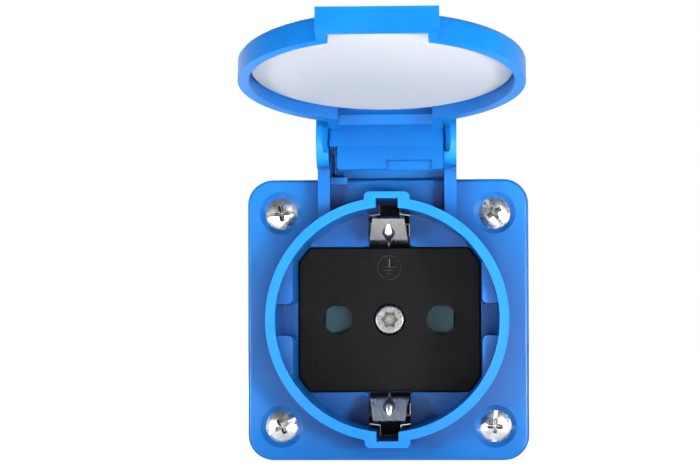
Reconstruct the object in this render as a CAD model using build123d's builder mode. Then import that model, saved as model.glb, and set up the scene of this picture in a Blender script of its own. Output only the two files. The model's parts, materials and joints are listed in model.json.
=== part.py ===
from build123d import *
from math import acos, cos, degrees, hypot, pi, radians, sin, sqrt
import os

os.makedirs("parts", exist_ok=True)

# Panel socket with a round recess and a sprung lid. Millimetres, X right, Z up, viewer at -Y.
# The origin is the middle of the mounting plane. Heights count from the panel towards the
# viewer, so a height h lies at y = -h, and everything behind the panel has a negative height.

# Flange, gasket and mounting screws
flange_size = 50.0
flange_t = 3.0
flange_corner_r = 4.5
flange_edge_r = 0.6
gasket_t = 1.0
gasket_overhang = 0.15
gasket_ring_gap = 0.3
screw_spacing = 38.0
screw_r = 1.5
screw_neck_r = 1.3
screw_hole_gap = 0.2
screw_head_r = 2.875
screw_head_dome = 0.85
screw_sink_r = 3.8
screw_reach = 12.0
screw_tip = 0.4
slot_w = 0.75
slot_depth = 0.9
cross_w = 0.9
cross_len = 2.9
cross_depth = 1.6
cross_taper = 12

# Collar, recess and the part of the cup behind the flange
collar_h = 6.4
collar_wall = 1.7
cup_r = 19.75
recess_depth = 17.5
floor_t = 2.0
skirt_h = 4.0
rib_half = 4.0
rib_rise = 1.05
rib_corner_r = 0.9
notch_half = 1.95
notch_wall = 1.15
channel_half = 3.75
channel_relief = 0.25
lip_h = 0.8

# Guides at the sides of the recess and pads above and below the black face
guide_inset = 3.0
guide_drop = 2.8
guide_slot = 5.6
pad_corner_r = 1.0
face_half_z = 13.2
face_gap = 0.12

# Black face plate with its skirt
plate_t = 2.2
plate_edge_r = 0.35
dish_w = 28.3
dish_h = 21.5
dish_corner_r = 3.0
dish_depth = 0.2
ledge = 1.6
skirt_wall = 1.2
skirt_corner_r = 1.0
plate_skirt_h = 3.5
pin_spacing = 19.0
pin_hole_r = 2.7
centre_recess_r = 2.95
centre_boss_r = 3.4
centre_web = 1.7

# Centre screw and its square nut
centre_screw_r = 1.5
centre_head_r = 2.7
centre_head_h = 1.9
lobe_r = 1.55
lobe_waist = 0.8
lobe_at = 0.74
lobe_depth = 1.2
centre_screw_end = 25.5
nut_size = 5.5
nut_t = 2.4

# Shutter and its spring
shutter_t = 1.8
shutter_hub_wall = 1.5
shutter_arm_w = 6.0
shutter_reach = 12.2
shutter_corner_r = 0.9
shutter_ramp = 0.5
shutter_gap = 0.1
peg_r = 0.5
peg_h = 1.5
peg_at = 6.4
shutter_wire = 0.5
shutter_turns = 1
spring_play = 0.35
wire_gap = 0.06

# Black base with the terminals
base_gap = 0.25
pocket_depth = 1.7
seat_depth = 8.7
disc_t = 13.2
drum_edge_r = 1.2
block_w = 34.5
block_h = 27.0
block_corner_r = 2.5
block_t = 5.5
chamber_w = 7.2
pin_wall_t = 1.0
chamber_gap = 0.25
sheet_t = 0.8
leaf_w = 5.2
leaf_bow = 0.4
mouth_flare = 0.9
pin_r = 2.4
terminal_at = 8.8
terminal_w = 6.4
terminal_screw_r = 1.75
terminal_head_r = 3.0
terminal_head_h = 2.2
terminal_screw_len = 4.4
clamp_size = 6.4
clamp_t = 1.2
fit_gap = 0.03
edge_break = 0.4
screw_play = 0.2
mouth_at = 1.4
throat_at = 3.2
leaf_bend_r = 0.7
blind_gap = 0.3

# Earth strap: a folded strip that ends in the two side contacts
earth_w = 7.0
earth_tip_w = 5.7
earth_inset = 2.75
earth_bulge = 3.0
earth_flare = 4.4
earth_bulge_h = 3.4
earth_tip_h = 6.6
earth_neck = 2.0
earth_slot_gap = 0.25
earth_bend_r = 1.0
earth_bead_r = 0.95
earth_bead_len = 6.0
earth_bead_at = 2.0

# Hinge ears on the housing
hinge_rise = 6.65
hinge_reach = 4.0
ear_t = 2.15
ear_head_r = 5.0
ear_crown_r = 1.5
ear_gap = 0.15
neck_reach = 3.0
journal_r = 1.6
journal_len = 1.15
journal_gap = 0.07
pocket_mouth = 4.7
ramp_wall = 0.5
bridge_t = 1.2
swing_gap = 0.25
cell_w = 2.25
cell_wall = 0.8
cell_wall_front = 2.8
cell_lip = 1.2
cell_lip_t = 1.1
cell_lip_rise = 0.3

# Lid, seal, hinge pin and lid spring
lid_open_angle = 102.0
lid_r = 23.6
lid_wall = 1.8
lid_plate_t = 1.3
lid_edge_r = 1.0
lap = 2.1
seal_t = 0.9
seal_gap = 0.15
seal_play = 0.2
seal_edge_r = 0.25
tongue_half = 10.0
arm_wall = 1.85
arm_end = 6.0
leaf_front = 3.0
leaf_wall = 1.0
leaf_crease = 1.85
leaf_tail = 6.2
leaf_flare = 0.5
leaf_back = 2.9
leaf_chamfer = 1.4
tail_corner_r = 0.45
cheek_t = 0.45
cheek_r = 2.35
spring_cut = 1.4
tail_notch_w = 8.0
tail_notch_h = 1.7
tail_notch_depth = 0.6
grip_half = 9.55
grip_end = 27.0
grip_t = 3.7
grip_root = 18.0
grip_notch_half = 7.85
grip_wall = 2.3
hinge_pin_r = 1.0
pin_chamfer = 0.2
lid_wire = 0.55
lid_coil_gap = 0.35
lid_turns = 4
leg_angle = 46.0
press_angle = 37.0

# Levels and places that follow from the sizes above
gasket_size = flange_size + 2 * gasket_overhang
front_h = gasket_t + flange_t
rim_h = front_h + collar_h
face_h = rim_h - recess_depth
floor_h = face_h - plate_t
base_h = floor_h - floor_t
pocket_h = base_h - pocket_depth
seat_h = base_h - seat_depth
disc_end_h = base_h - disc_t
rear_h = disc_end_h - block_t
skirt_end_h = base_h - skirt_h
collar_r = cup_r + collar_wall
rib_top = collar_r + rib_rise
guide_half = cup_r - guide_inset
earth_leg_z = cup_r - earth_inset
earth_bulge_z = earth_leg_z - earth_bulge
earth_tip_z = earth_bulge_z + earth_flare
notch_top = rib_top - notch_wall
pad_z = face_half_z + face_gap
face_half_x = guide_half - face_gap
window_x = face_half_x - ledge
window_z = face_half_z - ledge
hinge_y = -(front_h + hinge_reach)
hinge_z = flange_size / 2 + hinge_rise
ear_inner = tongue_half + ear_gap
swing_r = hypot(leaf_tail, leaf_front + leaf_flare) + swing_gap


def level(h):
    """Plane at a height above the panel, facing the viewer."""
    return Plane.XZ.offset(h)


# Directions of the lid when it stands open: along the tongue and out of its face.
lid_turn = radians(lid_open_angle)
lid_along = (0, sin(lid_turn), cos(lid_turn))
lid_out = (0, -cos(lid_turn), sin(lid_turn))


def lid_level(n):
    """Plane parallel to the lid, n above the hinge axis, with Y along the tongue."""
    return Plane(origin=(0, hinge_y, hinge_z), x_dir=(1, 0, 0), z_dir=lid_out).offset(n)


def lid_side(x):
    """Plane across the hinge at x, with X along the tongue and Y out of the lid."""
    return Plane(origin=(x, hinge_y, hinge_z), x_dir=lid_along, z_dir=(1, 0, 0))


seal_n = (rim_h + hinge_y) + seal_gap
lid_rim_n = seal_n - lap
lid_plate_n = seal_n + seal_t

# Housing: flange, ribbed collar, cup, guides, pads and hinge ears in one moulding
bridge_front = gasket_t + bridge_t
bridge_drop = sqrt(swing_r**2 - (hinge_y + bridge_front) ** 2)

with BuildPart() as housing:
    with BuildSketch(level(gasket_t)):
        RectangleRounded(flange_size, flange_size, flange_corner_r)
    extrude(amount=flange_t)
    fillet(housing.faces().sort_by(Axis.Y)[0].edges(), flange_edge_r)

    # Barrel and collar share one outline with a rib above and below
    with BuildSketch(level(skirt_end_h)):
        with BuildSketch(Plane.XY, mode=Mode.PRIVATE) as ribs:
            Rectangle(2 * rib_half, 2 * rib_top)
            fillet(ribs.vertices(), rib_corner_r)
        Circle(collar_r)
        add(ribs.sketch)
    extrude(amount=rim_h - skirt_end_h)

    # Hinge ears stand on the flange, run into the collar and are joined behind by a thin web
    ear_foot = sqrt((cup_r + collar_wall / 2) ** 2 - (ear_inner + ear_t) ** 2)
    with BuildSketch(Plane.XY, mode=Mode.PRIVATE) as ear_side:
        with Locations((hinge_y, hinge_z)):
            Circle(ear_head_r)
        with Locations((-gasket_t, ear_foot)):
            Rectangle(flange_t + neck_reach, hinge_z - ear_foot, align=(Align.MAX, Align.MIN))
        with Locations((-gasket_t, hinge_z)):
            Rectangle(-hinge_y - gasket_t, 2 * ear_head_r, align=(Align.MAX, Align.CENTER))
        fillet(ear_side.vertices().group_by(Axis.Y)[-1].sort_by(Axis.X)[-1], ear_crown_r)
    for side in (-1, 1):
        with BuildSketch(Plane.YZ.offset(side * (ear_inner + ear_t / 2))):
            add(ear_side.sketch)
        extrude(amount=ear_t / 2, both=True)
    web_front = hinge_y + leaf_tail + swing_gap
    with BuildSketch(Plane.YZ):
        add(ear_side.sketch)
        with Locations((web_front, flange_size / 2 - flange_corner_r)):
            Rectangle(-web_front, 2 * hinge_z, align=(Align.MIN, Align.MIN), mode=Mode.INTERSECT)
    extrude(amount=ear_inner + ear_t / 2, both=True)

    # Bridge between the ears, low enough for the lid's tail to swing past it
    with BuildSketch(level(gasket_t)):
        with Locations((0, flange_size / 2 - flange_corner_r)):
            Rectangle(2 * ear_inner + ear_t, hinge_z - bridge_drop - flange_size / 2 + flange_corner_r,
                      align=(Align.CENTER, Align.MIN))
    extrude(amount=bridge_t)

    # Cell for the lid spring's leg: a lip in front and a wall that ends short of the lid's tail
    cell_wall_top = hinge_z - sqrt(swing_r**2 - (hinge_y + cell_wall_front) ** 2)
    with BuildSketch(level(front_h - flange_edge_r)):
        with Locations((-ear_inner, flange_size / 2 + cell_lip_rise)):
            Rectangle(cell_w + cell_wall, cell_lip, align=(Align.MIN, Align.MAX))
    extrude(amount=flange_edge_r + cell_lip_t)
    with BuildSketch(level(gasket_t)):
        with Locations((-ear_inner + cell_w, flange_size / 2 - flange_corner_r)):
            Rectangle(cell_wall, cell_wall_top - flange_size / 2 + flange_corner_r,
                      align=(Align.MIN, Align.MIN))
    extrude(amount=cell_wall_front - gasket_t)

    # Blind bores for the lid's journals, and ramps that guide the journals in from the front
    for side in (-1, 1):
        with BuildSketch(Plane.YZ.offset(side * (ear_inner + journal_len / 2))):
            with Locations((hinge_y, hinge_z)):
                Circle(journal_r + journal_gap)
        extrude(amount=journal_len / 2, both=True, mode=Mode.SUBTRACT)
        with BuildSketch(Plane.XY.offset(hinge_z)):
            Polygon((side * ear_inner, hinge_y - ear_head_r),
                    (side * (ear_inner + journal_len), hinge_y - ear_head_r),
                    (side * ear_inner, hinge_y - journal_r - ramp_wall), align=None)
        extrude(amount=pocket_mouth / 2, both=True, mode=Mode.SUBTRACT)

    # Recess from the rim to the floor, and the socket for the base behind the floor
    with BuildSketch(level(rim_h)):
        Circle(cup_r)
    extrude(amount=-(rim_h - floor_h), mode=Mode.SUBTRACT)
    with BuildSketch(level(base_h)):
        Circle(cup_r)
    extrude(amount=-skirt_h, mode=Mode.SUBTRACT)

    # Guides: tall segments with flat inner faces and a slot between each pair
    with BuildSketch(level(floor_h)) as guides:
        Circle(cup_r + collar_wall / 2)
        Rectangle(2 * guide_half, 3 * cup_r, mode=Mode.SUBTRACT)
        Rectangle(3 * cup_r, guide_slot, mode=Mode.SUBTRACT)
        fillet(guides.vertices().sort_by_distance((0, 0, 0))[:4], pad_corner_r)
    extrude(amount=rim_h - guide_drop - floor_h)

    # Floor of the slots between the guides, level with the black face
    with BuildSketch(level(floor_h)):
        Circle(cup_r + collar_wall / 2)
        Rectangle(2 * guide_half, 3 * cup_r, mode=Mode.SUBTRACT)
    extrude(amount=plate_t)

    # Pads: low segments level with the black face, above and below it
    with BuildSketch(level(floor_h)) as pads:
        Circle(cup_r + collar_wall / 2)
        Rectangle(3 * cup_r, 2 * pad_z, mode=Mode.SUBTRACT)
        Rectangle(2 * channel_half, 3 * cup_r, mode=Mode.SUBTRACT)
        fillet(pads.vertices().sort_by_distance((0, 0, 0))[:4], pad_corner_r)
    extrude(amount=plate_t)

    # Window in the floor for the face plate's skirt
    with BuildSketch(level(floor_h)):
        RectangleRounded(2 * window_x, 2 * window_z, skirt_corner_r + face_gap)
    extrude(amount=-floor_t, mode=Mode.SUBTRACT)

    # Earth channels: wide openings through pads and floor, and the narrow notches in the ribs
    with BuildSketch(level(rim_h - lip_h)):
        Circle(cup_r + channel_relief)
        Rectangle(3 * cup_r, 2 * pad_z, mode=Mode.SUBTRACT)
        Rectangle(2 * channel_half, 3 * cup_r, mode=Mode.INTERSECT)
    extrude(amount=-(rim_h - lip_h - base_h), mode=Mode.SUBTRACT)
    with BuildSketch(level(rim_h)):
        Rectangle(2 * notch_half, 2 * notch_top)
        Rectangle(2 * notch_half, 2 * pad_z, mode=Mode.SUBTRACT)
    extrude(amount=-(rim_h - skirt_end_h), mode=Mode.SUBTRACT)

    # Screw holes with wide conical sinks
    with BuildSketch(level(front_h)):
        with GridLocations(screw_spacing, screw_spacing, 2, 2):
            Circle(screw_r + screw_hole_gap)
    extrude(amount=-flange_t, mode=Mode.SUBTRACT)
    with BuildSketch(level(front_h)):
        with GridLocations(screw_spacing, screw_spacing, 2, 2):
            Circle(screw_sink_r)
    extrude(amount=-(screw_sink_r - screw_r - screw_hole_gap), taper=45, mode=Mode.SUBTRACT)

housing.part.label = "housing"
export_step(housing.part, "parts/housing.step")

# Gasket: a flat rubber frame that just shows past the flange
with BuildPart() as flange_gasket:
    with BuildSketch(level(0)):
        RectangleRounded(gasket_size, gasket_size, flange_corner_r)
        Circle(rib_top + gasket_ring_gap, mode=Mode.SUBTRACT)
        with GridLocations(screw_spacing, screw_spacing, 2, 2):
            Circle(screw_r + screw_hole_gap, mode=Mode.SUBTRACT)
    extrude(amount=gasket_t)

flange_gasket.part.label = "flange_gasket"
export_step(flange_gasket.part, "parts/flange_gasket.step")

# Flange screws: raised countersunk heads in the conical sinks, necks thinner than the threads
head_seat_h = front_h - (screw_sink_r - screw_head_r)
head_top = head_seat_h + screw_head_dome
neck_h = head_seat_h - (screw_head_r - screw_neck_r)
with BuildPart() as screw:
    with BuildSketch(Plane.YZ):
        with BuildLine():
            Polyline((-head_top, 0), (screw_reach, 0), (screw_reach, screw_r - screw_tip),
                     (screw_reach - screw_tip, screw_r), (0, screw_r), (0, screw_neck_r),
                     (-neck_h, screw_neck_r), (-head_seat_h, screw_head_r))
            TangentArc((-head_top, 0), (-head_seat_h, screw_head_r), tangent=(0, 1))
        make_face()
    revolve(axis=Axis.Y)
    with BuildSketch(level(head_top)):
        Rectangle(3 * screw_head_r, slot_w)
    extrude(amount=-slot_depth, mode=Mode.SUBTRACT)
    with BuildSketch(level(head_top)):
        Rectangle(cross_w, cross_len)
        Rectangle(cross_len, cross_w)
    extrude(amount=-cross_depth, taper=cross_taper, mode=Mode.SUBTRACT)

# Each screw stopped at its own angle when it was tightened
corner = screw_spacing / 2
screw_turns = {(-corner, corner): -7, (corner, corner): -122, (-corner, -corner): -29, (corner, -corner): -87}
with BuildPart() as flange_screws:
    for (x, z), turn in screw_turns.items():
        with Locations(Location((x, 0, z), (0, turn, 0))):
            add(screw.part)

flange_screws.part.label = "flange_screws"
export_step(flange_screws.part, "parts/flange_screws.step")

# Face plate: dished front, two pin holes, a recess for the centre screw and a skirt behind
with BuildPart() as insert_cover:
    with BuildSketch(level(floor_h)):
        Rectangle(2 * face_half_x, 2 * face_half_z)
        Circle(cup_r - face_gap, mode=Mode.INTERSECT)
    extrude(amount=plate_t)
    fillet(insert_cover.faces().sort_by(Axis.Y)[0].edges(), plate_edge_r)
    with BuildSketch(level(face_h)):
        RectangleRounded(dish_w, dish_h, dish_corner_r)
    extrude(amount=-dish_depth, mode=Mode.SUBTRACT)
    with BuildSketch(level(floor_h)) as skirt:
        RectangleRounded(2 * (window_x - face_gap), 2 * (window_z - face_gap), skirt_corner_r)
        offset(amount=-skirt_wall, mode=Mode.SUBTRACT)
    extrude(amount=-plate_skirt_h)
    with BuildSketch(level(floor_h)):
        Circle(centre_boss_r)
    boss_end_h = face_h - dish_depth - centre_head_h - centre_web
    extrude(amount=-(floor_h - boss_end_h))
    with BuildSketch(level(face_h)):
        with Locations((-pin_spacing / 2, 0), (pin_spacing / 2, 0)):
            Circle(pin_hole_r)
    extrude(amount=-plate_t, mode=Mode.SUBTRACT)
    with BuildSketch(level(face_h)):
        Circle(centre_recess_r)
    extrude(amount=-(dish_depth + centre_head_h), mode=Mode.SUBTRACT)
    with BuildSketch(level(face_h)):
        Circle(centre_screw_r + screw_play)
    extrude(amount=-(face_h - boss_end_h), mode=Mode.SUBTRACT)

insert_cover.part.label = "insert_cover"
export_step(insert_cover.part, "parts/insert_cover.step")

# Centre screw with a six-lobe recess in a cylinder head
head_top_h = face_h - dish_depth
with BuildPart() as centre_screw:
    with BuildSketch(level(head_top_h)):
        Circle(centre_head_r)
    extrude(amount=-centre_head_h)
    fillet(centre_screw.edges().sort_by(Axis.Y)[0], edge_break)
    with BuildSketch(level(head_top_h - centre_head_h)):
        Circle(centre_screw_r)
    extrude(amount=-(head_top_h - centre_head_h + centre_screw_end))
    with BuildSketch(level(head_top_h)):
        Circle(lobe_waist * lobe_r)
        with PolarLocations(lobe_at * lobe_r, 6):
            Circle((1 - lobe_at) * lobe_r)
    extrude(amount=-lobe_depth, mode=Mode.SUBTRACT)

centre_screw.part.label = "centre_screw"
export_step(centre_screw.part, "parts/centre_screw.step")

# Square nut behind the earth strap
strap_back_h = seat_h - sheet_t
with BuildPart() as centre_nut:
    with BuildSketch(level(strap_back_h)):
        Rectangle(nut_size, nut_size)
        Circle(centre_screw_r + fit_gap, mode=Mode.SUBTRACT)
    extrude(amount=-nut_t)
    chamfer(centre_nut.edges().filter_by(Axis.Y), edge_break)

centre_nut.part.label = "centre_nut"
export_step(centre_nut.part, "parts/centre_nut.step")

# Shutter: a hub with two arms that cover the pin holes, sloped so that pins turn it
shutter_h = floor_h - shutter_gap
hub_r = centre_boss_r + shutter_gap + shutter_hub_wall
with BuildPart() as shutter:
    with BuildSketch(level(shutter_h)):
        Circle(hub_r)
        with BuildSketch(Plane.XY, mode=Mode.PRIVATE) as arms:
            Rectangle(2 * shutter_reach, shutter_arm_w)
            fillet(arms.vertices(), shutter_corner_r)
        add(arms.sketch)
        Circle(centre_boss_r + shutter_gap, mode=Mode.SUBTRACT)
    extrude(amount=-shutter_t)
    ramp_edges = shutter.edges().filter_by(Axis.X).group_by(Axis.Y)[0]
    chamfer(ramp_edges, shutter_ramp)
    with BuildSketch(level(shutter_h - shutter_t)):
        with Locations((peg_at, 0)):
            Circle(peg_r)
    extrude(amount=-peg_h)

shutter.part.label = "shutter"
export_step(shutter.part, "parts/shutter.step")

# Shutter spring: a coil round the base's post whose leg runs out past the shutter's peg
coil_h = shutter_h - shutter_t - spring_play
coil_r = centre_boss_r + spring_play + shutter_wire / 2
coil_step = shutter_wire + wire_gap
leg_turn = pi / 2 - acos((coil_r - peg_r - shutter_wire / 2 - wire_gap) / peg_at)
coil_len = coil_step * (shutter_turns + degrees(leg_turn) / 360)
with BuildPart() as shutter_spring:
    with BuildLine() as coil_line:
        coil = Helix(coil_step, coil_len, coil_r, center=(0, -coil_h, 0), direction=(0, 1, 0))
        Line(coil @ 1, (coil @ 1) + (coil % 1) * peg_at)
    with BuildSketch(Plane(origin=coil @ 0, z_dir=coil % 0)):
        Circle(shutter_wire / 2)
    sweep(is_frenet=True)

shutter_spring.part.label = "shutter_spring"
export_step(shutter_spring.part, "parts/shutter_spring.step")

# Base: a drum in the cup's skirt and a block behind it with three terminal chambers
base_r = cup_r - base_gap
grip_z = pin_r + wire_gap + sheet_t / 2
mouth_z = grip_z + mouth_flare
contact_low = grip_z + leaf_bow + sheet_t / 2
chamber_low = contact_low + chamber_gap
chamber_high = terminal_at + terminal_w / 2 + chamber_gap
with BuildPart() as insert_base:
    with BuildSketch(level(base_h)):
        Circle(base_r)
    extrude(amount=-disc_t)
    fillet(insert_base.edges().sort_by(Axis.Y)[-1], drum_edge_r)
    with BuildSketch(level(base_h)):
        Rectangle(2 * (notch_half - face_gap), 2 * (notch_top - face_gap))
    extrude(amount=-skirt_h)
    with BuildSketch(level(disc_end_h)):
        RectangleRounded(block_w, block_h, block_corner_r)
    extrude(amount=-block_t)
    fillet(insert_base.faces().sort_by(Axis.Y)[-1].edges(), edge_break)
    with BuildSketch(level(base_h)):
        RectangleRounded(2 * window_x, 2 * window_z, skirt_corner_r + face_gap)
    extrude(amount=-pocket_depth, mode=Mode.SUBTRACT)
    with BuildSketch(level(pocket_h)):
        Circle(centre_boss_r)
    extrude(amount=boss_end_h - pocket_h - fit_gap)
    # Pole chambers from the rear, narrower cells for the contact leaves, and pin holes in front
    with BuildSketch(level(rear_h)):
        with Locations((-pin_spacing / 2, -chamber_low), (pin_spacing / 2, -chamber_low)):
            Rectangle(chamber_w, chamber_high + chamber_low, align=(Align.CENTER, Align.MIN))
    extrude(amount=seat_h - rear_h, mode=Mode.SUBTRACT)
    with BuildSketch(level(seat_h)):
        with Locations((-pin_spacing / 2, 0), (pin_spacing / 2, 0)):
            Rectangle(leaf_w + 2 * chamber_gap, 2 * (mouth_z + sheet_t / 2 + chamber_gap))
    extrude(amount=pocket_h - pin_wall_t - seat_h, mode=Mode.SUBTRACT)
    with BuildSketch(level(pocket_h)):
        with Locations((-pin_spacing / 2, 0), (pin_spacing / 2, 0)):
            Circle(pin_hole_r + screw_play)
    extrude(amount=-pin_wall_t, mode=Mode.SUBTRACT)
    # Earth channel across the middle with slots for the legs of the strap
    with BuildSketch(level(rear_h)):
        Rectangle(earth_w + 2 * earth_slot_gap, 2 * (earth_leg_z + sheet_t))
    extrude(amount=seat_h - rear_h, mode=Mode.SUBTRACT)
    with BuildSketch(level(seat_h)):
        with Locations((0, -earth_leg_z + sheet_t / 2), (0, earth_leg_z - sheet_t / 2)):
            Rectangle(earth_w + 2 * earth_slot_gap, 3 * sheet_t)
    extrude(amount=base_h - seat_h, mode=Mode.SUBTRACT)
    # Holes for the centre screw and the terminal screws' ends
    with BuildSketch(level(seat_h)):
        Circle(centre_screw_r + screw_play)
    extrude(amount=boss_end_h - seat_h, mode=Mode.SUBTRACT)
    with BuildSketch(level(seat_h)):
        with Locations((-pin_spacing / 2, terminal_at), (pin_spacing / 2, terminal_at), (0, -terminal_at)):
            Circle(terminal_screw_r + screw_play)
    extrude(amount=terminal_screw_len, mode=Mode.SUBTRACT)

insert_base.part.label = "insert_base"
export_step(insert_base.part, "parts/insert_base.step")

# Live and neutral contacts: a sprung fork for the pin and a plate with a tapped hole
plate_mid_h = seat_h - sheet_t / 2
for side, name in ((-1, "live_contact"), (1, "neutral_contact")):
    with BuildPart() as contact:
        with BuildSketch(Plane.YZ.offset(side * pin_spacing / 2)):
            with BuildLine():
                FilletPolyline((-pocket_h + mouth_at, -mouth_z), (-pocket_h + throat_at, -grip_z),
                               (-plate_mid_h, -grip_z - leaf_bow), (-plate_mid_h, grip_z + leaf_bow),
                               (-pocket_h + throat_at, grip_z), (-pocket_h + mouth_at, mouth_z),
                               radius=leaf_bend_r)
            trace(line_width=sheet_t)
        extrude(amount=leaf_w / 2, both=True)
        with BuildSketch(level(seat_h)):
            with Locations((side * pin_spacing / 2, -contact_low)):
                Rectangle(terminal_w, contact_low + terminal_at + terminal_w / 2,
                          align=(Align.CENTER, Align.MIN))
            with Locations((side * pin_spacing / 2, terminal_at)):
                Circle(terminal_screw_r + fit_gap, mode=Mode.SUBTRACT)
        extrude(amount=-sheet_t)
        # The window that the leaves were folded out of lets the pin's end through
        with BuildSketch(level(seat_h)):
            with Locations((side * pin_spacing / 2, 0)):
                Rectangle(2 * pin_r, 2 * pin_r)
        extrude(amount=-sheet_t, mode=Mode.SUBTRACT)
    contact.part.label = name
    export_step(contact.part, "parts/" + name + ".step")

# Bead on the earth contact: a pointed half spindle along the middle of a flared end
tip_h = face_h + earth_tip_h
bulge_h = face_h + earth_bulge_h
tip_edge_z = earth_tip_z + sheet_t
bulge_at = Vector(0, -bulge_h, earth_bulge_z)
flare_run = (Vector(0, -tip_h, earth_tip_z) - bulge_at).normalized()
bead_at = bulge_at + flare_run * (earth_bead_at - earth_bead_len / 2)
with BuildPart() as bead:
    with BuildSketch(Plane(origin=bead_at, x_dir=flare_run, z_dir=flare_run.cross(Vector(1, 0, 0)))):
        Polygon((0, 0), (earth_bead_len, 0), (earth_bead_len / 2, earth_bead_r), align=None)
    revolve(axis=Axis(bead_at, flare_run), revolution_arc=180)

# Earth strap: seat across the base, legs forward, contacts that bulge in and flare out again
with BuildPart() as earth_strap:
    with BuildSketch(Plane.YZ):
        with BuildLine():
            FilletPolyline((-tip_h, -earth_tip_z), (-bulge_h, -earth_bulge_z),
                           (-face_h + earth_neck, -earth_leg_z), (-plate_mid_h, -earth_leg_z),
                           (-plate_mid_h, earth_leg_z), (-face_h + earth_neck, earth_leg_z),
                           (-bulge_h, earth_bulge_z), (-tip_h, earth_tip_z), radius=earth_bend_r)
        trace(line_width=sheet_t)
    extrude(amount=earth_w / 2, both=True)
    # The flared ends taper towards their tips
    with BuildSketch(level(bulge_h)):
        Rectangle(2 * earth_w, 2 * tip_edge_z)
        with BuildLine():
            Polyline((-earth_w / 2, -earth_bulge_z), (-earth_w / 2, earth_bulge_z),
                     (-earth_tip_w / 2, earth_tip_z), (-earth_tip_w / 2, tip_edge_z),
                     (earth_tip_w / 2, tip_edge_z), (earth_tip_w / 2, earth_tip_z),
                     (earth_w / 2, earth_bulge_z), (earth_w / 2, -earth_bulge_z),
                     (earth_tip_w / 2, -earth_tip_z), (earth_tip_w / 2, -tip_edge_z),
                     (-earth_tip_w / 2, -tip_edge_z), (-earth_tip_w / 2, -earth_tip_z), close=True)
        make_face(mode=Mode.SUBTRACT)
    extrude(amount=earth_tip_h, mode=Mode.SUBTRACT)
    with BuildSketch(level(seat_h)):
        Circle(centre_screw_r + screw_play)
        with Locations((0, -terminal_at)):
            Circle(terminal_screw_r + fit_gap)
    extrude(amount=-sheet_t, mode=Mode.SUBTRACT)
    add(bead.part)
    mirror(bead.part, about=Plane.XY)

earth_strap.part.label = "earth_strap"
export_step(earth_strap.part, "parts/earth_strap.step")

# Terminal screws and clamp plates: one of each for live, neutral and earth
terminals = {
    "live": (-pin_spacing / 2, terminal_at),
    "neutral": (pin_spacing / 2, terminal_at),
    "earth": (0, -terminal_at),
}
clamp_back_h = strap_back_h - clamp_t
for pole, (x, z) in terminals.items():
    with BuildPart() as clamp:
        with BuildSketch(level(strap_back_h)):
            with Locations((x, z)):
                Rectangle(clamp_size, clamp_size)
                Circle(terminal_screw_r + screw_play, mode=Mode.SUBTRACT)
        extrude(amount=-clamp_t)
        chamfer(clamp.edges().filter_by(Axis.Y).filter_by(GeomType.LINE), edge_break)
    clamp.part.label = pole + "_clamp"
    export_step(clamp.part, "parts/" + pole + "_clamp.step")

    with BuildPart() as terminal_screw:
        with BuildSketch(level(clamp_back_h)):
            with Locations((x, z)):
                Circle(terminal_head_r)
        extrude(amount=-terminal_head_h)
        chamfer(terminal_screw.edges().sort_by(Axis.Y)[-1], edge_break)
        with BuildSketch(level(clamp_back_h - terminal_head_h)):
            with Locations((x, z)):
                Rectangle(3 * terminal_head_r, slot_w)
        extrude(amount=slot_w, mode=Mode.SUBTRACT)
        with BuildSketch(level(clamp_back_h)):
            with Locations((x, z)):
                Circle(terminal_screw_r)
        extrude(amount=clamp_t + sheet_t + terminal_screw_len - blind_gap)
    terminal_screw.part.label = pole + "_screw"
    export_step(terminal_screw.part, "parts/" + pole + "_screw.step")

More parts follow.
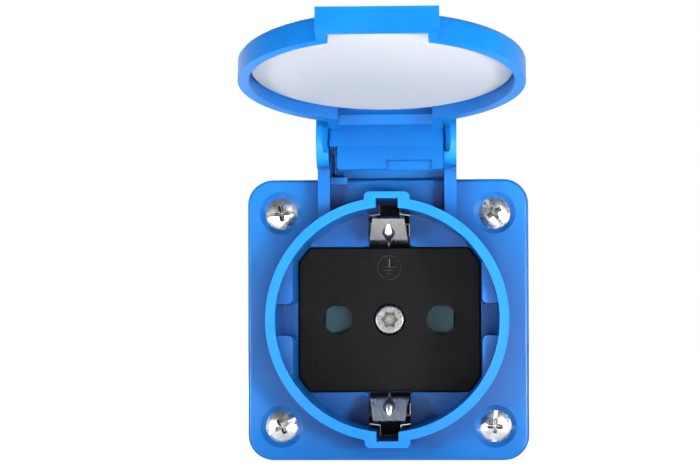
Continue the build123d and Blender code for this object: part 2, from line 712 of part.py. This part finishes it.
# Lid, modelled where it stands open: plate, skirt, grip, tongue, arms and the hollow hinge leaf
disc_at = -hinge_z
grip_low = disc_at - grip_end
with BuildPart() as lid:
    with BuildSketch(lid_level(lid_plate_n)):
        with Locations((0, disc_at)):
            Circle(lid_r)
    extrude(amount=lid_plate_t)
    fillet(lid.faces().sort_by(Axis.Z)[-1].edges(), lid_edge_r)
    # Skirt with a gap for the collar's upper rib
    with BuildSketch(lid_level(lid_rim_n)):
        with Locations((0, disc_at)):
            Circle(lid_r)
            Circle(lid_r - lid_wall, mode=Mode.SUBTRACT)
        with Locations((0, 0)):
            Rectangle(2 * (tongue_half - arm_wall), -disc_at, align=(Align.CENTER, Align.MAX),
                      mode=Mode.SUBTRACT)
    extrude(amount=lid_plate_n - lid_rim_n)
    # Grip with an inner notch that clears the collar's lower rib
    with BuildSketch(lid_level(lid_rim_n)):
        with Locations((0, grip_low)):
            Rectangle(2 * grip_half, grip_end - grip_root, align=(Align.CENTER, Align.MIN))
        with Locations((0, disc_at)):
            Circle(lid_r - lid_wall, mode=Mode.SUBTRACT)
    extrude(amount=grip_t)
    with BuildSketch(lid_level(lid_rim_n)):
        with Locations((0, grip_low + grip_wall)):
            Rectangle(2 * grip_notch_half, grip_end - grip_root, align=(Align.CENTER, Align.MIN))
    extrude(amount=lid_plate_n - lid_rim_n, mode=Mode.SUBTRACT)
    # Tongue and the two arms that run on from the skirt
    with BuildSketch(lid_level(lid_plate_n)):
        with Locations((0, leaf_back)):
            Rectangle(2 * tongue_half, hinge_z - grip_root + leaf_back, align=(Align.CENTER, Align.MAX))
    extrude(amount=lid_plate_t)
    with BuildSketch(lid_level(lid_rim_n)):
        with Locations((0, -arm_end)):
            Rectangle(2 * tongue_half, hinge_z - arm_end, align=(Align.CENTER, Align.MAX))
            Rectangle(2 * (tongue_half - arm_wall), hinge_z, align=(Align.CENTER, Align.MAX),
                      mode=Mode.SUBTRACT)
        with Locations((0, disc_at)):
            Circle(lid_r - lid_wall, mode=Mode.SUBTRACT)
    extrude(amount=lid_plate_n - lid_rim_n)
    # Leaf: the front wall of the hinge block, with a crease and a flared tail
    with BuildSketch(lid_side(0)):
        with BuildLine():
            Polyline((-leaf_front - leaf_chamfer, lid_plate_n), (-leaf_front, lid_plate_n - leaf_chamfer),
                     (-leaf_front, -leaf_crease), (-leaf_front - leaf_flare, -leaf_tail),
                     (-leaf_front - leaf_flare + leaf_wall, -leaf_tail),
                     (-leaf_front + leaf_wall, -leaf_crease), (-leaf_front + leaf_wall, lid_plate_n),
                     close=True)
        make_face()
    extrude(amount=tongue_half, both=True)
    # The tail is cut away on the left for the spring, has round corners and a notch in front
    leaf_edge = -leaf_front - leaf_flare
    with BuildSketch(lid_side(-tongue_half + spring_cut / 2)):
        with Locations((-leaf_front, -leaf_crease)):
            Rectangle(4 * leaf_wall, leaf_tail, align=(Align.CENTER, Align.MAX))
    extrude(amount=spring_cut / 2, both=True, mode=Mode.SUBTRACT)
    with BuildSketch(lid_side(tail_notch_w / 2)):
        with Locations((leaf_edge, -leaf_tail)):
            Rectangle(2 * tail_notch_depth, 2 * tail_notch_h)
    extrude(amount=tail_notch_w / 2, both=True, mode=Mode.SUBTRACT)
    tail_end = lid.faces().sort_by(Axis((0, hinge_y, hinge_z), lid_out))[0]
    tail_corners = tail_end.edges().sort_by(Axis.X)
    fillet([tail_corners[0], tail_corners[-1]], tail_corner_r)
    # Cheeks with the journals
    for side in (-1, 1):
        with BuildSketch(lid_side(side * (tongue_half - cheek_t / 2))):
            Circle(cheek_r)
            with Locations((0, lid_plate_n)):
                Rectangle(2 * cheek_r, lid_plate_n, align=(Align.CENTER, Align.MAX))
        extrude(amount=cheek_t / 2, both=True)
        with BuildSketch(lid_side(side * (tongue_half + journal_len / 2))):
            Circle(journal_r)
        extrude(amount=journal_len / 2 + ear_gap / 2, both=True)

    with BuildSketch(lid_side(-tongue_half - journal_len)):
        Circle(hinge_pin_r + fit_gap)
    extrude(amount=2 * (tongue_half + journal_len), mode=Mode.SUBTRACT)

lid.part.label = "lid"
export_step(lid.part, "parts/lid.step")

# Seal: a round rubber disc that lies in the lid
with BuildPart() as lid_seal:
    with BuildSketch(lid_level(seal_n)):
        with Locations((0, disc_at)):
            Circle(lid_r - lid_wall - seal_play)
    extrude(amount=seal_t)
    fillet(lid_seal.faces().sort_by(Axis.Z)[0].edges(), seal_edge_r)

lid_seal.part.label = "lid_seal"
export_step(lid_seal.part, "parts/lid_seal.step")

# Hinge pin: steel, carried in the cheeks, with the lid spring wound round it
pin_end = tongue_half + journal_len - wire_gap
with BuildPart() as hinge_pin:
    with BuildSketch(lid_side(-pin_end)):
        Circle(hinge_pin_r)
    extrude(amount=2 * pin_end)
    chamfer(hinge_pin.edges().filter_by(GeomType.CIRCLE), pin_chamfer)

hinge_pin.part.label = "hinge_pin"
export_step(hinge_pin.part, "parts/hinge_pin.step")

# Lid spring: a coil on the pin, one leg down behind the cell's lip, the other up under the tongue
lid_coil_r = hinge_pin_r + lid_coil_gap + lid_wire / 2
lid_step = lid_wire + wire_gap
press_lean = press_angle + 90 - lid_open_angle
lid_coil_len = lid_step * (lid_turns + (90 + leg_angle - press_lean) / 360)
coil_end_x = -tongue_half + cheek_t + wire_gap + lid_wire / 2
press_rise = lid_plate_n - lid_wire / 2 - wire_gap
press_len = (press_rise - lid_coil_r * cos(radians(press_angle))) / sin(radians(press_angle))
leg_drop = hinge_z - flange_size / 2 - cell_lip_rise - lid_wire - lid_coil_r * sin(radians(leg_angle))
leg_len = leg_drop / cos(radians(leg_angle))
with BuildPart() as spring_form:
    with BuildLine() as winding:
        turns = Helix(lid_step, lid_coil_len, lid_coil_r, direction=(-1, 0, 0), lefthand=True,
                      center=(coil_end_x + lid_coil_len, 0, 0))
    with BuildSketch(Plane(origin=turns @ 0, z_dir=turns % 0)):
        Circle(lid_wire / 2)
    sweep(is_frenet=True)
    # Both legs run straight on from the coil's ends
    for end, away, leg in ((turns @ 0, -(turns % 0), press_len), (turns @ 1, turns % 1, leg_len)):
        with BuildLine() as straight:
            Line(end, end + away * leg)
        with BuildSketch(Plane(origin=end, z_dir=away)):
            Circle(lid_wire / 2)
        sweep(path=straight.line)
with BuildPart() as lid_spring:
    with Locations(Location((0, hinge_y, hinge_z), (180 + press_lean, 0, 0))):
        add(spring_form.part)

lid_spring.part.label = "lid_spring"
export_step(lid_spring.part, "parts/lid_spring.step")
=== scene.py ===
import json
import math

import bmesh
import bpy
from mathutils import Matrix, Vector

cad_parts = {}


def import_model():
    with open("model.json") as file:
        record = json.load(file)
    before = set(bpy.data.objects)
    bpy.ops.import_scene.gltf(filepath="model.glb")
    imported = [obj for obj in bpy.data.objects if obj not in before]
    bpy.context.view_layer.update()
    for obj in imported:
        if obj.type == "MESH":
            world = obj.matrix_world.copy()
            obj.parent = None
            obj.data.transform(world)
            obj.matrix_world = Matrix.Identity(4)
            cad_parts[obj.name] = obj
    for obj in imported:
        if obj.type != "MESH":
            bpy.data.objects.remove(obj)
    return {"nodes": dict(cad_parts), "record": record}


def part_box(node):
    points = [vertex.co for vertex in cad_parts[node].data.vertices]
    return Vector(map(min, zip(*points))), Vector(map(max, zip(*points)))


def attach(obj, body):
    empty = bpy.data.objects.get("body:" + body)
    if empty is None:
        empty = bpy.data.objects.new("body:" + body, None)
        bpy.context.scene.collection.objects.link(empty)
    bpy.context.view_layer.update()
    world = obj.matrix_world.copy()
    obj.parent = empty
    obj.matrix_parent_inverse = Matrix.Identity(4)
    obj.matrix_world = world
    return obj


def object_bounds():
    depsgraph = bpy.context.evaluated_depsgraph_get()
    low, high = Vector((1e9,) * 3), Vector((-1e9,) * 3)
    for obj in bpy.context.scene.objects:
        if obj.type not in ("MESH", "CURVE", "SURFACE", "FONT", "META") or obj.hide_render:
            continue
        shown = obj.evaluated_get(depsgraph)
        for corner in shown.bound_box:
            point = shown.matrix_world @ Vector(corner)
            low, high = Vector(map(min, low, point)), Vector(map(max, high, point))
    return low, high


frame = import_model()
nodes = frame["nodes"]
cad_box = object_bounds()

# Lengths named below are in millimetres, apart from those under Stage, light and camera
MM = 0.001
WHITE = (1, 1, 1, 1)

# Front of the collar and the depth over which a painted highlight turns its colour paler
RIM_Y = -10.35
RIM_LIGHT_FADE = 0.5

# How near something must be for painted shade on a surface: mouldings, metal pieces and the seal's edge
CORNER_SHADE_REACH = 11.0
CREVICE_SHADE_REACH = 1.2
CONTACT_SHADE_REACH = 2.4
EDGE_SHADE_REACH = 1.6
SHADE_SAMPLES = 8

# Edges of the made pieces that turn by more than this stay sharp
SHARP_DEGREES = 40

# Raised earth sign on the black face, whose middle is dished
SIGN_HEIGHT = 9.5
SIGN_RADIUS = 2.15
SIGN_STEPS = 64
SIGN_LINE = 0.16
SIGN_RISE = 0.13
SIGN_ROOT = 0.02
SIGN_STEM = (1.5, 0.1)
SIGN_BARS = ((1.35, 0.1), (0.85, -0.5), (0.4, -1.1))
DISH_TOP = 10.75
DISH_DEPTH = 0.2

# Threads of the flange screws: where they start, how far from the tip they end, and their ridge
SCREW_SQUARE = 38.0
THREAD_START = 1.5
THREAD_END = 0.4
THREAD_RADIUS = 1.5
THREAD_RISE = 0.12
THREAD_ROOT = 0.05
THREAD_PITCH = 0.6
THREAD_STEPS = 20
RIDGE_SHARES = (0.15, 0.5, 0.85)

# Side contacts: where the sloped end starts and ends (y, z) and the bead pressed into it
SLOPE_START = (3.7, 14.0)
SLOPE_END = (0.5, 18.4)
BEAD_LENGTH = 4.8
BEAD_RADIUS = 1.25
BEAD_POINT = 0.02
BEAD_FULLNESS = 1.4
BEAD_STEPS = 20

# Stage, light and camera, in metres and degrees
FLOOR_HALF = 1.5
FLOOR_TINT = 0.86
FLOOR_ROUGHNESS = 0.9
FLOOR_LIFT = 0.82
SHADOW_REACH = 0.07
WORLD_LIGHT = 0.09
FRONT_GLOSS = 0.2
GLOSS_TURN = (0.2, 0.9)
CAMERA_PLACE = (0.01068, -0.42005, -0.00034)
CAMERA_YAW = 2.396
CAMERA_PITCH = 2.16
CAMERA_ROLL = -0.163
CAMERA_LENS_MM = 120.06
CAMERA_SENSOR_MM = 36
CAMERA_NEAR = 0.01


def srgb(red, green, blue):
    """Linear colour from 0-255 display values."""
    def linear(value):
        value /= 255
        return value / 12.92 if value <= 0.04045 else ((value + 0.055) / 1.055) ** 2.4
    return (linear(red), linear(green), linear(blue), 1.0)


def map_range(tree, value, low, high, to_low, to_high):
    """Maps the range low-high of a node's output to to_low-to_high, clamped."""
    node = tree.nodes.new("ShaderNodeMapRange")
    for socket, number in (("From Min", low), ("From Max", high), ("To Min", to_low), ("To Max", to_high)):
        node.inputs[socket].default_value = number
    tree.links.new(value, node.inputs["Value"])
    return node.outputs["Result"]


# Materials: each is a shader with a few shared building blocks
class Shader:
    """A node tree with one principled shader and short ways to add nodes."""

    def __init__(self, name):
        self.material = bpy.data.materials.new(name)
        self.material.use_nodes = True
        self.tree = self.material.node_tree
        self.surface = self.tree.nodes["Principled BSDF"]
        coordinates = self.tree.nodes.new("ShaderNodeTexCoord")
        self.place = coordinates.outputs["Object"]

    def set(self, **values):
        for name, value in values.items():
            self.surface.inputs[name.replace("_", " ")].default_value = value

    def link(self, output, node, socket):
        self.tree.links.new(output, node.inputs[socket])

    def noise(self, scale, detail=3.0, roughness=0.5, stretch=None):
        texture = self.tree.nodes.new("ShaderNodeTexNoise")
        texture.inputs["Scale"].default_value = scale
        texture.inputs["Detail"].default_value = detail
        texture.inputs["Roughness"].default_value = roughness
        source = self.place
        if stretch:
            mapping = self.tree.nodes.new("ShaderNodeMapping")
            mapping.inputs["Scale"].default_value = stretch
            self.link(self.place, mapping, "Vector")
            source = mapping.outputs["Vector"]
        self.link(source, texture, "Vector")
        return texture.outputs["Fac"]

    def spread(self, value, low, high, to_low=0, to_high=1):
        return map_range(self.tree, value, low, high, to_low, to_high)

    def blend(self, factor, first, second):
        """Mixes two colours, each a tuple or a node's output, by a factor."""
        node = self.tree.nodes.new("ShaderNodeMix")
        node.data_type = "RGBA"
        self.link(factor, node, "Factor")
        # A mix node has its colour inputs at 6 and 7, and its colour output at 2
        for socket, value in ((6, first), (7, second)):
            if isinstance(value, tuple):
                node.inputs[socket].default_value = value
            else:
                self.link(value, node, socket)
        return node.outputs[2]

    def bump(self, height, strength, depth, after=None):
        """Fine relief of a depth in millimetres, on top of another relief if one is named."""
        node = self.tree.nodes.new("ShaderNodeBump")
        node.inputs["Strength"].default_value = strength
        node.inputs["Distance"].default_value = depth * MM
        self.link(height, node, "Height")
        if after:
            self.link(after, node, "Normal")
        return node.outputs["Normal"]

    def painted_shade_mask(self, reach, low, high):
        """0 deep in a crevice of the piece and 1 on its open faces, within a reach in millimetres: the mask
        for painted shade.
        """
        node = self.tree.nodes.new("ShaderNodeAmbientOcclusion")
        node.samples = SHADE_SAMPLES
        node.only_local = True
        node.inputs["Distance"].default_value = reach * MM
        return self.spread(node.outputs["AO"], low, high)

    def colour(self, output):
        self.link(output, self.surface, "Base Color")

    def rough(self, output):
        self.link(output, self.surface, "Roughness")

    def normal(self, output):
        self.link(output, self.surface, "Normal")


def blue_plastic(name, lit_rim_y=None):
    """Moulded blue with painted shade in corners and, where a rim's place is given, a painted highlight that
    makes its front paler.
    """
    shader = Shader(name)
    clouds = shader.noise(90, detail=4)
    tint = shader.blend(shader.spread(clouds, 0.35, 0.65), srgb(6, 98, 174), srgb(9, 106, 184))
    specks = shader.noise(5200, detail=1)
    tint = shader.blend(shader.spread(specks, 0.66, 0.8, 0, 0.5), tint, srgb(38, 119, 197))
    if lit_rim_y:
        apart = shader.tree.nodes.new("ShaderNodeSeparateXYZ")
        shader.link(shader.place, apart, "Vector")
        # Painted highlight: the front of the collar is coloured paler
        painted_rim_light = shader.spread(apart.outputs["Y"], (lit_rim_y + RIM_LIGHT_FADE) * MM, lit_rim_y * MM)
        tint = shader.blend(painted_rim_light, tint, srgb(17, 122, 203))
    # Painted shade: corners and recesses of the moulding are coloured a deeper blue
    shader.colour(shader.blend(shader.painted_shade_mask(CORNER_SHADE_REACH, 0.3, 0.95), srgb(3, 56, 122), tint))
    shader.rough(shader.spread(clouds, 0.3, 0.7, 0.3, 0.4))
    grain = shader.bump(shader.noise(3500, detail=2), strength=0.12, depth=0.04)
    shader.normal(shader.bump(shader.noise(260, detail=2), strength=0.08, depth=0.2, after=grain))
    shader.set(IOR=1.5, Specular_IOR_Level=0.3)
    return shader.material


def black_plastic(name, least_rough, most_rough, specular):
    """Fine matt black with grains of dust, and smoother where it is worn."""
    shader = Shader(name)
    clouds = shader.noise(120, detail=4)
    tint = shader.blend(clouds, srgb(8, 8, 9), srgb(14, 14, 15))
    dust = shader.noise(3000, detail=1)
    shader.colour(shader.blend(shader.spread(dust, 0.74, 0.84, 0, 0.5), tint, srgb(84, 86, 90)))
    wear = shader.noise(110, detail=6, roughness=0.7)
    shader.rough(shader.spread(wear, 0.35, 0.75, most_rough, least_rough))
    shader.normal(shader.bump(shader.noise(4200, detail=2), strength=0.3, depth=0.05))
    shader.set(IOR=1.48, Specular_IOR_Level=specular)
    return shader.material


def teal_plastic():
    shader = Shader("teal_plastic")
    clouds = shader.noise(150, detail=3)
    shader.colour(shader.blend(clouds, srgb(12, 46, 56), srgb(20, 64, 76)))
    shader.rough(shader.spread(clouds, 0.3, 0.7, 0.3, 0.42))
    shader.normal(shader.bump(shader.noise(3800, detail=2), strength=0.2, depth=0.04))
    shader.set(Specular_IOR_Level=0.25)
    return shader.material


def seal_rubber():
    """Pale soft rubber, scuffed across and gritty, with painted shade that greys it along its edge."""
    shader = Shader("seal_rubber")
    clouds = shader.noise(60, detail=5, roughness=0.6)
    base = shader.blend(shader.spread(clouds, 0.3, 0.7), srgb(157, 162, 169), srgb(166, 170, 176))
    scuffs = shader.noise(240, detail=6, roughness=0.7, stretch=(0.15, 1, 1))
    base = shader.blend(shader.spread(scuffs, 0.6, 0.74, 0, 0.6), base, srgb(146, 152, 164))
    grit = shader.noise(2600, detail=3, roughness=0.7)
    base = shader.blend(shader.spread(grit, 0.5, 0.72, 0, 0.55), base, srgb(150, 154, 164))
    # Painted shade: the seal is coloured greyer along its edge
    shader.colour(shader.blend(shader.painted_shade_mask(EDGE_SHADE_REACH, 0.3, 0.75), srgb(120, 126, 140), base))
    shader.rough(shader.spread(clouds, 0.3, 0.7, 0.55, 0.72))
    shader.normal(shader.bump(shader.noise(1800, detail=3), strength=0.2, depth=0.06))
    return shader.material


def gasket_rubber():
    shader = Shader("gasket_rubber")
    clouds = shader.noise(200, detail=4)
    shader.colour(shader.blend(clouds, srgb(88, 88, 76), srgb(112, 111, 98)))
    shader.rough(shader.spread(clouds, 0.3, 0.7, 0.7, 0.85))
    shader.normal(shader.bump(shader.noise(2600, detail=3), strength=0.35, depth=0.08))
    return shader.material


def plated_steel(name, pale, dull, shade):
    """Clouded zinc plate with painted shade in crevices: shade is the range of openness over which the
    painted shade darkens it.
    """
    shader = Shader(name)
    clouds = shader.noise(320, detail=5, roughness=0.6)
    tint = shader.blend(shader.spread(clouds, 0.35, 0.7), pale, dull)
    # Painted shade: crevices of the steel are coloured darker
    shader.colour(shader.blend(shader.painted_shade_mask(CREVICE_SHADE_REACH, *shade), srgb(84, 82, 79), tint))
    scratches = shader.noise(1500, detail=3)
    shader.rough(shader.spread(scratches, 0.3, 0.75, 0.22, 0.34))
    shader.normal(shader.bump(scratches, strength=0.06, depth=0.02))
    shader.set(Metallic=1.0)
    return shader.material


def spring_steel():
    shader = Shader("spring_steel")
    drawn = shader.noise(900, detail=2, stretch=(1, 1, 0.1))
    shader.colour(shader.blend(drawn, srgb(196, 198, 200), srgb(228, 228, 228)))
    shader.rough(shader.spread(drawn, 0.3, 0.7, 0.18, 0.3))
    shader.set(Metallic=1.0)
    return shader.material


def contact_metal():
    shader = Shader("contact_metal")
    clouds = shader.noise(240, detail=4)
    tint = shader.blend(shader.spread(clouds, 0.3, 0.7), srgb(186, 180, 170), srgb(206, 203, 197))
    # Painted shade: the contacts are coloured darker in their folds and hollows
    shader.colour(shader.blend(shader.painted_shade_mask(CONTACT_SHADE_REACH, 0.35, 0.9), srgb(60, 58, 55), tint))
    rolled = shader.noise(1400, detail=3, stretch=(1, 0.08, 0.08))
    shader.rough(shader.spread(rolled, 0.3, 0.7, 0.24, 0.32))
    shader.normal(shader.bump(rolled, strength=0.015, depth=0.01))
    shader.set(Metallic=1.0)
    return shader.material


finishes = {
    "blue_plastic": blue_plastic("blue_plastic"),
    "black_plastic": black_plastic("black_plastic", least_rough=0.26, most_rough=0.46, specular=0.09),
    "teal_plastic": teal_plastic(),
    "seal_rubber": seal_rubber(),
    "gasket_rubber": gasket_rubber(),
    "bright_steel": plated_steel("bright_steel", srgb(224, 223, 220), srgb(182, 182, 181), shade=(0.1, 0.45)),
    "spring_steel": spring_steel(),
    "contact_metal": contact_metal(),
}
own_finishes = {
    "housing": blue_plastic("blue_plastic_painted_rim_light", RIM_Y),
    "centre_screw": plated_steel("dull_steel", srgb(150, 150, 149), srgb(138, 138, 138), shade=(0.6, 0.95)),
}
slot_of = {part["node"]: part["material_slot"] for part in frame["record"]["subparts"]}
for name, body in nodes.items():
    body.data.materials.clear()
    body.data.materials.append(own_finishes.get(name, finishes[slot_of[name]]))


# Pieces that the solids leave out, all of them carried by the socket
def add_piece(name, shape, slot, finish=None):
    """Makes a built shape a smooth piece of the socket with the finish of a material slot, or its own finish
    if given.
    """
    mesh = bpy.data.meshes.new(name)
    bmesh.ops.recalc_face_normals(shape, faces=shape.faces)
    shape.to_mesh(mesh)
    shape.free()
    for face in mesh.polygons:
        face.use_smooth = True
    mesh.set_sharp_from_angle(angle=math.radians(SHARP_DEGREES))
    mesh.materials.append(finish or finishes[slot])
    piece = bpy.data.objects.new(name, mesh)
    bpy.context.collection.objects.link(piece)
    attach(piece, "socket")


def skin(shape, rows, closed=False):
    """Joins rows of vertices, each row a ring, into a tube that is capped or closed on itself."""
    pairs = list(zip(rows, rows[1:])) + ([(rows[-1], rows[0])] if closed else [])
    for first, second in pairs:
        for k in range(len(first)):
            following = (k + 1) % len(first)
            shape.faces.new((first[k], first[following], second[following], second[k]))
    if not closed:
        shape.faces.new(rows[0])
        shape.faces.new(rows[-1])


def raised_line(shape, points, width, closed=False):
    """A low ridge with sloping sides along points (x, z) on the black face."""
    face_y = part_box("insert_cover")[0][1] / MM
    rows = []
    count = len(points)
    for index, (x, z) in enumerate(points):
        before = points[index - 1] if closed or index else points[0]
        after = points[(index + 1) % count] if closed or index + 1 < count else points[-1]
        along = Vector((after[0] - before[0], after[1] - before[1])).normalized()
        level = face_y + (0 if z > DISH_TOP else DISH_DEPTH)
        row = []
        for across, rise in ((-1, -SIGN_ROOT), (-0.5, SIGN_RISE), (0.5, SIGN_RISE), (1, -SIGN_ROOT)):
            side = across * width / 2
            corner = Vector((x - along.y * side, level - rise, z + along.x * side))
            row.append(shape.verts.new(corner * MM))
        rows.append(row)
    skin(shape, rows, closed)


def earth_sign():
    """A circle round a stem with three bars under it."""
    shape = bmesh.new()
    angles = [math.tau * k / SIGN_STEPS for k in range(SIGN_STEPS)]
    ring = [(SIGN_RADIUS * math.cos(angle), SIGN_HEIGHT + SIGN_RADIUS * math.sin(angle)) for angle in angles]
    raised_line(shape, ring, SIGN_LINE, closed=True)
    raised_line(shape, [(0, SIGN_HEIGHT + end) for end in SIGN_STEM], SIGN_LINE)
    for half, drop in SIGN_BARS:
        raised_line(shape, [(-half, SIGN_HEIGHT + drop), (half, SIGN_HEIGHT + drop)], SIGN_LINE)
    polished = black_plastic("black_plastic_polished", least_rough=0.16, most_rough=0.26, specular=0.9)
    add_piece("earth_sign", shape, "black_plastic", polished)


def thread(name, x, z, start, end):
    """A helical ridge on a screw's shank from one depth behind the panel face to another."""
    shape = bmesh.new()
    rows = []
    for k in range(int((end - start - THREAD_PITCH) / THREAD_PITCH * THREAD_STEPS)):
        turns = k / THREAD_STEPS
        angle = math.tau * turns
        rise = THREAD_RISE * min(1, turns)
        row = []
        for along, height in zip(RIDGE_SHARES, (-THREAD_ROOT, rise, -THREAD_ROOT)):
            radius = THREAD_RADIUS + height
            depth = start + THREAD_PITCH * (turns + along)
            corner = Vector((x + radius * math.cos(angle), depth, z + radius * math.sin(angle)))
            row.append(shape.verts.new(corner * MM))
        rows.append(row)
    skin(shape, rows)
    add_piece(name, shape, "bright_steel")


def contact_bead(name, side):
    """A pointed half spindle on the sloped end of a side contact, towards the plug."""
    shape = bmesh.new()
    start = Vector((0, SLOPE_START[0], side * SLOPE_START[1]))
    run = (Vector((0, SLOPE_END[0], side * SLOPE_END[1])) - start).normalized()
    across = Vector((1, 0, 0))
    out = Vector((0, -side * run.z, side * run.y))
    angles = [math.pi * (k / BEAD_STEPS - 0.5) for k in range(BEAD_STEPS + 1)]
    rows = []
    for step in range(BEAD_STEPS + 1):
        share = step / BEAD_STEPS
        radius = max(BEAD_POINT, BEAD_RADIUS * (1 - abs(2 * share - 1) ** BEAD_FULLNESS))
        centre = start + run * BEAD_LENGTH * share
        half_ring = [centre + radius * (math.cos(angle) * out + math.sin(angle) * across) for angle in angles]
        rows.append([shape.verts.new(corner * MM) for corner in half_ring])
    skin(shape, rows)
    add_piece(name, shape, "contact_metal")


earth_sign()
contact_bead("contact_bead_top", 1)
contact_bead("contact_bead_bottom", -1)
screw_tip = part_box("flange_screws")[1][1] / MM
for number, (side, height) in enumerate(((-1, 1), (1, 1), (-1, -1), (1, -1)), 1):
    thread(f"flange_thread_{number}", side * SCREW_SQUARE / 2, height * SCREW_SQUARE / 2,
           THREAD_START, screw_tip - THREAD_END)


# Stage: a pale floor that keeps the object's shadow, under a world that the camera sees as white
def stage_floor():
    material = bpy.data.materials.new("pale_floor")
    material.use_nodes = True
    tree = material.node_tree
    surface = tree.nodes["Principled BSDF"]
    surface.inputs["Base Color"].default_value = (FLOOR_TINT, FLOOR_TINT, FLOOR_TINT, 1)
    surface.inputs["Roughness"].default_value = FLOOR_ROUGHNESS
    surface.inputs["Emission Color"].default_value = WHITE
    path = tree.nodes.new("ShaderNodeLightPath")
    place = tree.nodes.new("ShaderNodeTexCoord")
    distance = tree.nodes.new("ShaderNodeVectorMath")
    distance.operation = "LENGTH"
    tree.links.new(place.outputs["Object"], distance.inputs[0])
    lift = map_range(tree, distance.outputs["Value"], SHADOW_REACH, 3 * SHADOW_REACH, FLOOR_LIFT, 1)
    # Only camera, glossy and transmission rays see the floor shine, so it lights nothing
    shown = path.outputs["Is Camera Ray"]
    for ray in ("Is Glossy Ray", "Is Transmission Ray"):
        either = tree.nodes.new("ShaderNodeMath")
        either.operation = "MAXIMUM"
        tree.links.new(shown, either.inputs[0])
        tree.links.new(path.outputs[ray], either.inputs[1])
        shown = either.outputs["Value"]
    seen = tree.nodes.new("ShaderNodeMath")
    seen.operation = "MULTIPLY"
    tree.links.new(shown, seen.inputs[0])
    tree.links.new(lift, seen.inputs[1])
    tree.links.new(seen.outputs["Value"], surface.inputs["Emission Strength"])
    shape = bmesh.new()
    bmesh.ops.create_grid(shape, x_segments=1, y_segments=1, size=FLOOR_HALF)
    mesh = bpy.data.meshes.new("floor")
    shape.to_mesh(mesh)
    shape.free()
    mesh.materials.append(material)
    floor = bpy.data.objects.new("floor", mesh)
    floor.location = (0, 0, cad_box[0][2])
    bpy.context.collection.objects.link(floor)


def world():
    scene_world = bpy.data.worlds.new("studio")
    bpy.context.scene.world = scene_world
    scene_world.use_nodes = True
    tree = scene_world.node_tree
    light = tree.nodes["Background"]
    light.inputs["Color"].default_value = WHITE
    light.inputs["Strength"].default_value = WORLD_LIGHT
    path = tree.nodes.new("ShaderNodeLightPath")
    direction = tree.nodes.new("ShaderNodeTexCoord")
    apart = tree.nodes.new("ShaderNodeSeparateXYZ")
    tree.links.new(direction.outputs["Generated"], apart.inputs["Vector"])
    mirrored = map_range(tree, apart.outputs["Y"], *GLOSS_TURN, FRONT_GLOSS, 1)
    # Glossy rays see white behind the object and a dimmer room in front of it, the others plain white
    surface = light.outputs["Background"]
    for ray, level in (("Is Glossy Ray", mirrored), ("Is Transmission Ray", None), ("Is Camera Ray", None)):
        seen = tree.nodes.new("ShaderNodeBackground")
        seen.inputs["Color"].default_value = WHITE
        seen.inputs["Strength"].default_value = 1
        if level:
            tree.links.new(level, seen.inputs["Strength"])
        mix = tree.nodes.new("ShaderNodeMixShader")
        tree.links.new(path.outputs[ray], mix.inputs["Fac"])
        tree.links.new(surface, mix.inputs[1])
        tree.links.new(seen.outputs["Background"], mix.inputs[2])
        surface = mix.outputs["Shader"]
    tree.links.new(surface, tree.nodes["World Output"].inputs["Surface"])


def area_light(name, place, target, size, power, spread=180):
    """A square lamp at a place, turned to a target; its power is in watts and its spread in degrees."""
    lamp = bpy.data.lights.new(name, "AREA")
    lamp.size = size
    lamp.energy = power
    lamp.spread = math.radians(spread)
    holder = bpy.data.objects.new(name, lamp)
    holder.location = place
    holder.rotation_euler = (Vector(target) - Vector(place)).to_track_quat("-Z", "Y").to_euler()
    bpy.context.collection.objects.link(holder)


stage_floor()
world()
area_light("floor_wash", (0.02, -0.2, 0.6), (0.02, -0.195, 0), size=0.1, power=1.12, spread=24)
area_light("front_right", (0.3, -0.4, 0.0), (0, 0, -0.01), size=0.12, power=0.36)
area_light("high_right", (0.24, -0.42, 0.17), (0, 0, -0.01), size=0.1, power=0.27)
area_light("low_right", (0.12, -0.16, -0.014), (0, 0, -0.02), size=0.03, power=0.4)
area_light("low_left", (-0.13, -0.15, -0.014), (0, 0, -0.02), size=0.03, power=0.27)
area_light("back_soft", (-0.2, 0.45, 0.3), (0, 0, 0), size=0.3, power=2.2)


# Camera at the photograph's place and angle
def camera():
    lens = bpy.data.cameras.new("photo_camera")
    lens.sensor_width = CAMERA_SENSOR_MM
    lens.lens = CAMERA_LENS_MM
    lens.clip_start = CAMERA_NEAR
    holder = bpy.data.objects.new("photo_camera", lens)
    yaw, pitch, roll = (math.radians(turn) for turn in (CAMERA_YAW, CAMERA_PITCH, CAMERA_ROLL))
    ahead = Vector((-math.sin(yaw) * math.cos(pitch), math.cos(yaw) * math.cos(pitch), math.sin(pitch)))
    level = Vector((math.cos(yaw), math.sin(yaw), 0))
    up = level.cross(ahead)
    right = math.cos(roll) * level + math.sin(roll) * up
    up = math.cos(roll) * up - math.sin(roll) * level
    turn = Matrix((right, up, -ahead)).transposed()
    holder.matrix_world = Matrix.Translation(CAMERA_PLACE) @ turn.to_4x4()
    bpy.context.collection.objects.link(holder)
    bpy.context.scene.camera = holder


camera()
bpy.context.scene.view_settings.view_transform = "Standard"
